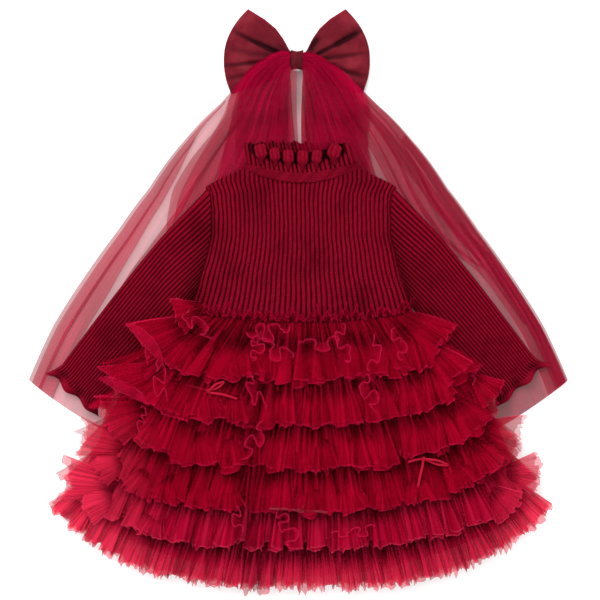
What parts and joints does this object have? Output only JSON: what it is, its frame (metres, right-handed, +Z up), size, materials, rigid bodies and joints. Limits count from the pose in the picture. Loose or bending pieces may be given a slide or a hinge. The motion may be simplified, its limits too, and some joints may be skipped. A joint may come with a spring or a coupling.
{
  "type": "toddler party dress with veil bow",
  "caption": "Ribbed knit toddler dress laid flat, with a skirt of gathered tulle ruffles and a satin bow with a tulle veil behind it.",
  "frame": {"origin": "middle of the whole, on the flat surface that it lies on", "axes": "+Y from the hem towards the neck and the bow, +X to the right in the picture, +Z up from the surface"},
  "size_m": [0.6274, 0.668, 0.0539],
  "materials": {
    "rib_knit": "ribbed wool-like knit, matt",
    "plain_knit": "fine plain knit, matt",
    "skirt_tulle": "crisp gathered net in several layers",
    "lining_tulle": "plain net under the ruffles",
    "veil_tulle": "soft sheer net",
    "satin": "dull satin",
    "ribbon": "narrow glossy ribbon"
  },
  "bodies": {
    "root": {"veil_under": "veil_tulle", "veil_left": "veil_tulle", "veil_right": "veil_tulle", "bow_loop_left": "satin", "bow_loop_right": "satin", "bow_knot": "satin", "bodice_front": "rib_knit", "bodice_back": "rib_knit", "sleeve_left": "rib_knit", "cuff_frill_left": "plain_knit", "sleeve_right": "rib_knit", "cuff_frill_right": "plain_knit", "neck_band": "plain_knit", "neck_frill": "plain_knit", "lining_front": "lining_tulle", "lining_back": "lining_tulle", "tier_1_front": "skirt_tulle", "tier_1_back": "skirt_tulle", "tier_2_front": "skirt_tulle", "tier_2_back": "skirt_tulle", "tier_3_front": "skirt_tulle", "tier_3_back": "skirt_tulle", "tier_4_front": "skirt_tulle", "tier_4_back": "skirt_tulle", "tier_5_front": "skirt_tulle", "tier_5_back": "skirt_tulle", "tier_6_front": "skirt_tulle", "tier_6_back": "skirt_tulle", "waist_heading": "skirt_tulle", "ribbon_bow_left": "ribbon", "ribbon_bow_left_knot": "ribbon", "ribbon_bow_centre": "ribbon", "ribbon_bow_centre_knot": "ribbon", "ribbon_bow_right": "ribbon", "ribbon_bow_right_knot": "ribbon"}
  },
  "joints": []
}
